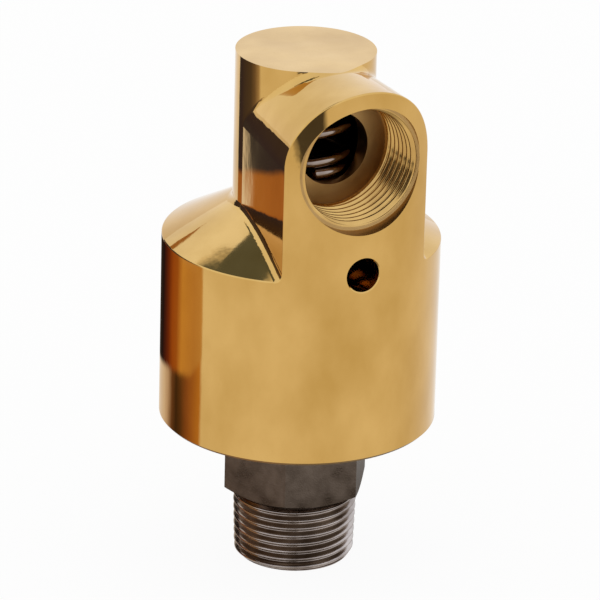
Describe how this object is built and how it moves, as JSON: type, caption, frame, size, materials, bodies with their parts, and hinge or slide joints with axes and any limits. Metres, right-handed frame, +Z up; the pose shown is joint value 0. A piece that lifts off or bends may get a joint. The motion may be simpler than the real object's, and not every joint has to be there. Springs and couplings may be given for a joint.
{
  "type": "hydraulic rotary union",
  "caption": "Single-passage rotary union: brass housing with a threaded side port and weep hole, turning on a steel hex nipple with a tapered male pipe thread.",
  "frame": {"origin": "centre of the nipple's end face, which the union stands on", "axes": "+Z up along the axis of rotation towards the neck, side port facing -Y"},
  "size_m": [0.075, 0.075, 0.145],
  "materials": {
    "housing_brass": "polished brass",
    "rotor_steel": "dark machined steel",
    "bearing_steel": "ground bearing steel",
    "ring_steel": "phosphated spring steel",
    "spacer_steel": "turned steel",
    "cage_polymer": "moulded nylon",
    "seal_rubber": "nitrile rubber",
    "seal_carbon": "lapped carbon graphite",
    "seat_hard_metal": "lapped hard metal",
    "carrier_bronze": "turned bronze",
    "backup_ptfe": "white PTFE",
    "spring_steel": "oiled spring steel"
  },
  "bodies": {
    "housing": {"housing": "housing_brass", "housing_retaining_ring": "ring_steel", "grease_seal_case": "spacer_steel", "grease_seal_lip": "seal_rubber", "garter_spring": "spring_steel", "lower_bearing_outer_race": "bearing_steel", "upper_bearing_outer_race": "bearing_steel", "lower_bearing_shields": "spacer_steel", "upper_bearing_shields": "spacer_steel", "outer_spacer": "spacer_steel", "anti_rotation_pins": "bearing_steel", "spring": "spring_steel"},
    "rotor": {"rotor": "rotor_steel", "rotor_retaining_ring": "ring_steel", "seal_seat": "seat_hard_metal", "seat_o_ring": "seal_rubber", "lower_bearing_inner_race": "bearing_steel", "upper_bearing_inner_race": "bearing_steel", "inner_spacer": "spacer_steel"},
    "floating_seal": {"seal_carrier": "carrier_bronze", "carbon_seal_ring": "seal_carbon", "carrier_o_ring": "seal_rubber", "carrier_backup_ring": "backup_ptfe"},
    "lower_ball_set": {"lower_bearing_balls": "bearing_steel", "lower_bearing_cage": "cage_polymer"},
    "upper_ball_set": {"upper_bearing_balls": "bearing_steel", "upper_bearing_cage": "cage_polymer"}
  },
  "joints": [
    {"name": "rotor_spin", "type": "hinge", "parent": "housing", "child": "rotor", "pos_m": [0, 0, 0.06795], "axis": [0, 0, 1], "continuous": true},
    {"name": "lower_cage_spin", "type": "hinge", "parent": "housing", "child": "lower_ball_set", "pos_m": [0, 0, 0.05795], "axis": [0, 0, 1], "continuous": true},
    {"name": "upper_cage_spin", "type": "hinge", "parent": "housing", "child": "upper_ball_set", "pos_m": [0, 0, 0.07795], "axis": [0, 0, 1], "continuous": true},
    {"name": "seal_lift", "type": "slide", "parent": "housing", "child": "floating_seal", "axis": [0, 0, 1], "range_m": [0, 0.0015], "stiffness_N_per_m": 9000, "springref_m": -0.006, "deforming": ["spring"]}
  ],
  "couplings": [
    {"joint": "lower_cage_spin", "follows": "rotor_spin", "ratio": 0.4175},
    {"joint": "upper_cage_spin", "follows": "rotor_spin", "ratio": 0.4175}
  ]
}
